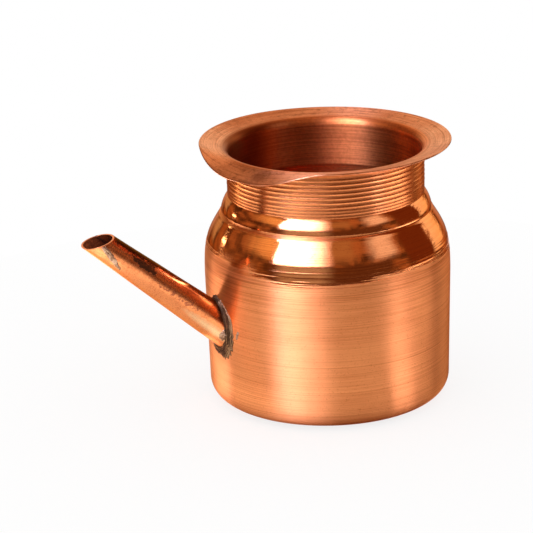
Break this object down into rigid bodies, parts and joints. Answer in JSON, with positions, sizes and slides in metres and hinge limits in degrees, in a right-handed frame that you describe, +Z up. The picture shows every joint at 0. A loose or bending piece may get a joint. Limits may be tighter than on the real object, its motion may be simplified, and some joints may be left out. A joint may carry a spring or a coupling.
{
  "type": "spouted water pot",
  "caption": "Small round copper water pot with a straight rising spout soldered into its side, a ridged neck and a wide flared rim with a pressed lip; pours a thin stream.",
  "frame": {"origin": "centre of the flat base, on the surface that the pot stands on", "axes": "+Z up along the axis of the turned body; the spout points towards -X; +Y completes the right-handed set"},
  "size_m": [0.1442, 0.0932, 0.0983],
  "materials": {
    "vessel_copper": "spun copper, brushed wall, polished shoulder, ridged neck",
    "spout_copper": "rolled copper sheet, satin with heat stains",
    "seam_solder": "dull filed solder",
    "root_solder": "rough dark solder"
  },
  "bodies": {
    "root": {"pot_body": "vessel_copper", "spout_tube": "spout_copper", "spout_seam_solder": "seam_solder", "spout_root_solder": "root_solder"}
  },
  "joints": []
}
